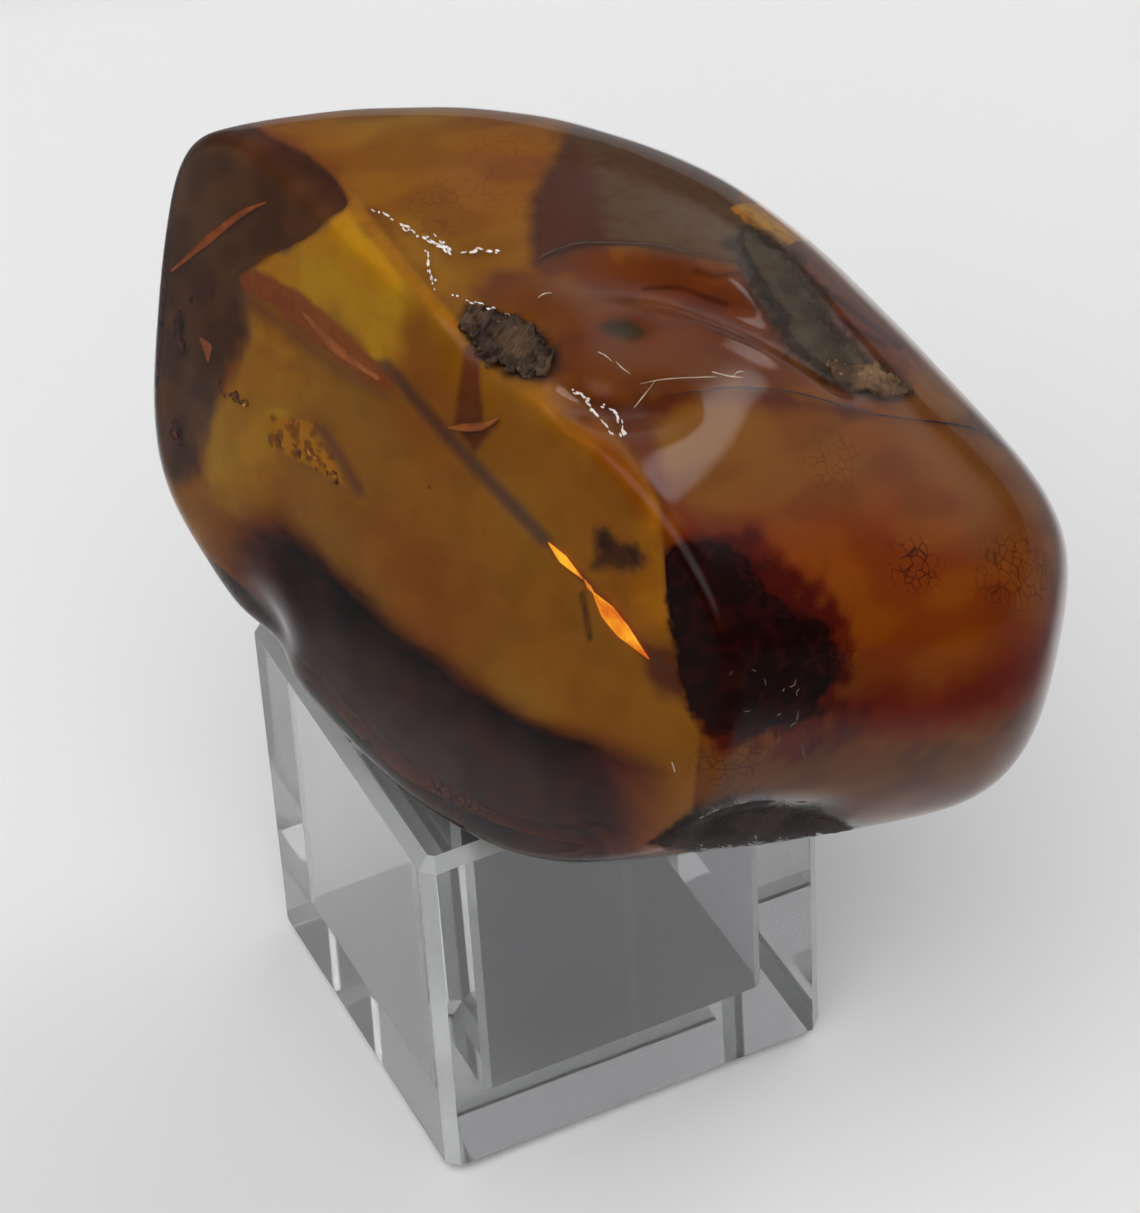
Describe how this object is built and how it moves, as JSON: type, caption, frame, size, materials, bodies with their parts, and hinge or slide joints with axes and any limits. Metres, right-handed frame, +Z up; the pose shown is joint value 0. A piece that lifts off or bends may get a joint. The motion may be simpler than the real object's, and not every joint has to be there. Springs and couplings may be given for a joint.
{
  "type": "amber nugget on a stand",
  "caption": "Polished natural amber nugget with a flat ground window, resting on the rim of a clear open-topped cube stand, for display on a shelf.",
  "frame": {"origin": "middle of the stand's underside", "axes": "+Z up, the stand's front face towards -Y, +X to the right of someone who looks at the front"},
  "size_m": [0.0641, 0.0788, 0.0893],
  "materials": {
    "amber": "polished",
    "clear_acrylic": "polished"
  },
  "bodies": {
    "root": {"nugget": "amber", "stand": "clear_acrylic"}
  },
  "joints": []
}
